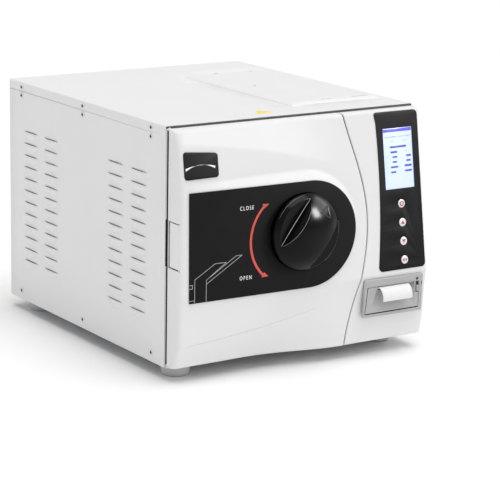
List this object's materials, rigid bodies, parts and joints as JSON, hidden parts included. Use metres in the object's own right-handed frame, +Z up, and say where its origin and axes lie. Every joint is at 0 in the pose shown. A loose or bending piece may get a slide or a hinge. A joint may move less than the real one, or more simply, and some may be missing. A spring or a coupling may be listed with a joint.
{
  "type": "benchtop autoclave",
  "caption": "Benchtop steam steriliser: sheet-metal casing, hinged locking door on a round chamber, display console, receipt printer and rear fittings.",
  "frame": {"origin": "on the bench, under the middle of the machine's overall box", "axes": "+X to the right of a person facing the door, +Y from the door to the back, +Z up"},
  "size_m": [0.4498, 0.603, 0.386],
  "materials": {
    "casing_white": "satin",
    "zinc_sheet": "satin",
    "stainless": "satin",
    "screw_steel": "gloss",
    "door_white": "satin",
    "inner_white": "matte",
    "plate_black": "satin",
    "knob_black": "gloss",
    "foot_grey": "matte",
    "seal_silicone": "matte",
    "hinge_white": "satin",
    "machined_steel": "satin",
    "bronze": "satin",
    "brass_fitting": "satin",
    "copper": "satin",
    "insulation": "matte",
    "heater": "satin",
    "membrane_black": "satin",
    "screen_glass": "gloss",
    "button_white": "satin",
    "printer_grey": "satin",
    "paper": "matte",
    "tank_plastic": "satin",
    "pump_grey": "satin",
    "coil_black": "matte",
    "fan_black": "matte",
    "board_green": "satin",
    "switch_black": "satin"
  },
  "bodies": {
    "casing": {"base_pan": "zinc_sheet", "front_panel": "zinc_sheet", "rear_panel": "casing_white", "side_panel_left": "casing_white", "side_panel_right": "casing_white", "top_cover": "casing_white", "feet": "foot_grey", "casing_screws": "screw_steel", "lock_ring": "stainless", "chamber_vessel": "stainless", "chamber_gasket": "seal_silicone", "heater_band": "heater", "insulation_jacket": "insulation", "chamber_supports": "zinc_sheet", "tray_rack": "stainless", "trays": "stainless", "hinge_bracket": "hinge_white", "hinge_pin": "machined_steel", "console_moulding": "door_white", "keypad_membrane": "membrane_black", "display_module": "screen_glass", "printer_body": "printer_grey", "clean_water_tank": "tank_plastic", "used_water_tank": "tank_plastic", "steam_generator": "stainless", "vacuum_pump": "pump_grey", "valve_block": "coil_black", "condenser_coil": "copper", "fan_frame": "fan_black", "power_inlet": "coil_black", "safety_valve": "brass_fitting", "drain_spigots": "brass_fitting", "main_board": "board_green"},
    "door": {"door_outer_cover": "door_white", "door_inner_cover": "inner_white", "knob_plate": "plate_black", "badge_plate": "plate_black", "hinge_arm": "machined_steel", "hinge_cover": "door_white", "pressure_plate": "stainless", "shaft_bush": "bronze", "bolt_guides": "machined_steel"},
    "knob": {"knob": "knob_black", "knob_shaft": "machined_steel", "cam_plate": "machined_steel"},
    "bolt_1": {"lock_bolt_1": "machined_steel"},
    "bolt_2": {"lock_bolt_2": "machined_steel"},
    "bolt_3": {"lock_bolt_3": "machined_steel"},
    "start_button": {"button_start": "button_white"},
    "up_button": {"button_up": "button_white"},
    "down_button": {"button_down": "button_white"},
    "select_button": {"button_select": "button_white"},
    "printer_door": {"printer_hatch": "printer_grey", "paper_strip": "paper"},
    "printer_catch": {"printer_lever": "printer_grey"},
    "roll": {"paper_roll": "paper"},
    "water_lid": {"tank_lid": "door_white"},
    "fan": {"fan_rotor": "fan_black"},
    "mains_switch": {"power_switch": "switch_black"},
    "relief_ring": {"safety_valve_ring": "screw_steel"}
  },
  "joints": [
    {"name": "door_swing", "type": "hinge", "parent": "casing", "child": "door", "pos_m": [-0.214, -0.219, 0.208], "axis": [0, 0, -1], "range_deg": [0, 100]},
    {"name": "knob_turn", "type": "hinge", "parent": "door", "child": "knob", "pos_m": [-0.015, -0.284, 0.215], "axis": [0, 1, 0], "range_deg": [0, 90]},
    {"name": "bolt_1_slide", "type": "slide", "parent": "door", "child": "bolt_1", "axis": [0, 0, 1], "range_m": [0, 0.015]},
    {"name": "bolt_2_slide", "type": "slide", "parent": "door", "child": "bolt_2", "axis": [-0.866, 0, -0.5], "range_m": [0, 0.015]},
    {"name": "bolt_3_slide", "type": "slide", "parent": "door", "child": "bolt_3", "axis": [0.866, 0, -0.5], "range_m": [0, 0.015]},
    {"name": "start_button_press", "type": "slide", "parent": "casing", "child": "start_button", "axis": [0, 0.9882, -0.153], "range_m": [0, 0.0012], "stiffness_N_per_m": 300},
    {"name": "up_button_press", "type": "slide", "parent": "casing", "child": "up_button", "axis": [0, 0.9882, -0.153], "range_m": [0, 0.0012], "stiffness_N_per_m": 300},
    {"name": "down_button_press", "type": "slide", "parent": "casing", "child": "down_button", "axis": [0, 0.9882, -0.153], "range_m": [0, 0.0012], "stiffness_N_per_m": 300},
    {"name": "select_button_press", "type": "slide", "parent": "casing", "child": "select_button", "axis": [0, 0.9882, -0.153], "range_m": [0, 0.0012], "stiffness_N_per_m": 300},
    {"name": "printer_door_swing", "type": "hinge", "parent": "casing", "child": "printer_door", "pos_m": [0.15, -0.2696, 0.072], "axis": [1, 0, 0], "range_deg": [0, 85]},
    {"name": "printer_catch_lift", "type": "slide", "parent": "casing", "child": "printer_catch", "axis": [0, 0, 1], "range_m": [0, 0.006], "stiffness_N_per_m": 200},
    {"name": "paper_roll_spin", "type": "hinge", "parent": "casing", "child": "roll", "pos_m": [0.15, -0.234, 0.092], "axis": [1, 0, 0], "continuous": true},
    {"name": "water_lid_lift", "type": "slide", "parent": "casing", "child": "water_lid", "axis": [0, 0, 1], "range_m": [0, 0.06]},
    {"name": "fan_spin", "type": "hinge", "parent": "casing", "child": "fan", "pos_m": [-0.01, 0.268, 0.14], "axis": [0, 1, 0], "continuous": true},
    {"name": "mains_switch_rock", "type": "hinge", "parent": "casing", "child": "mains_switch", "pos_m": [0.17, 0.281, 0.096], "axis": [-1, 0, 0], "range_deg": [0, 16]},
    {"name": "relief_ring_pull", "type": "slide", "parent": "casing", "child": "relief_ring", "axis": [0, 1, 0], "range_m": [0, 0.003], "stiffness_N_per_m": 800}
  ],
  "couplings": [
    {"joint": "bolt_1_slide", "follows": "knob_turn", "m_per_rad": 0.0095493},
    {"joint": "bolt_2_slide", "follows": "knob_turn", "m_per_rad": 0.0095493},
    {"joint": "bolt_3_slide", "follows": "knob_turn", "m_per_rad": 0.0095493}
  ]
}
